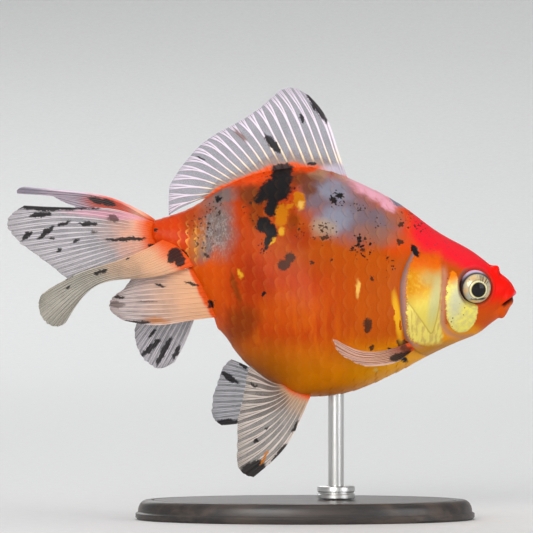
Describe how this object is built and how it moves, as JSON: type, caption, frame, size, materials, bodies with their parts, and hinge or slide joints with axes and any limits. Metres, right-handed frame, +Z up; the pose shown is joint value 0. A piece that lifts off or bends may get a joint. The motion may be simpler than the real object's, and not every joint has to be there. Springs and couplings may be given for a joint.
{
  "type": "fantail goldfish model",
  "caption": "Still, life-size museum model of a calico fantail goldfish, deep-bodied with spread see-through fins, held above a flat oval base by a steel rod.",
  "frame": {"origin": "centre of the display base's underside, on the floor", "axes": "+X towards the fish's head, +Y towards the fish's left side, +Z up"},
  "size_m": [0.1286, 0.0588, 0.1096],
  "materials": {
    "skin": "wet satin, painted calico markings",
    "fin": "satin, see-through between the rays",
    "eye": "clear gloss over silver and black",
    "steel": "satin",
    "base_wood": "black stained, satin"
  },
  "bodies": {
    "root": {"head": "skin", "jaw_lower": "skin", "gill_cover_right": "skin", "gill_cover_left": "skin", "trunk": "skin", "tail_root": "skin", "nostril_flap_right": "skin", "nostril_flap_left": "skin", "dorsal_fin": "fin", "tail_upper_right": "fin", "tail_upper_left": "fin", "tail_lower_right": "fin", "tail_lower_left": "fin", "anal_fin_right": "fin", "anal_fin_left": "fin", "pelvic_fin_right": "fin", "pelvic_fin_left": "fin", "pectoral_fin_right": "fin", "pectoral_fin_left": "fin", "eye_right": "eye", "eye_left": "eye", "stand_base": "base_wood", "stand_rod": "steel", "stand_collar": "steel"}
  },
  "joints": []
}
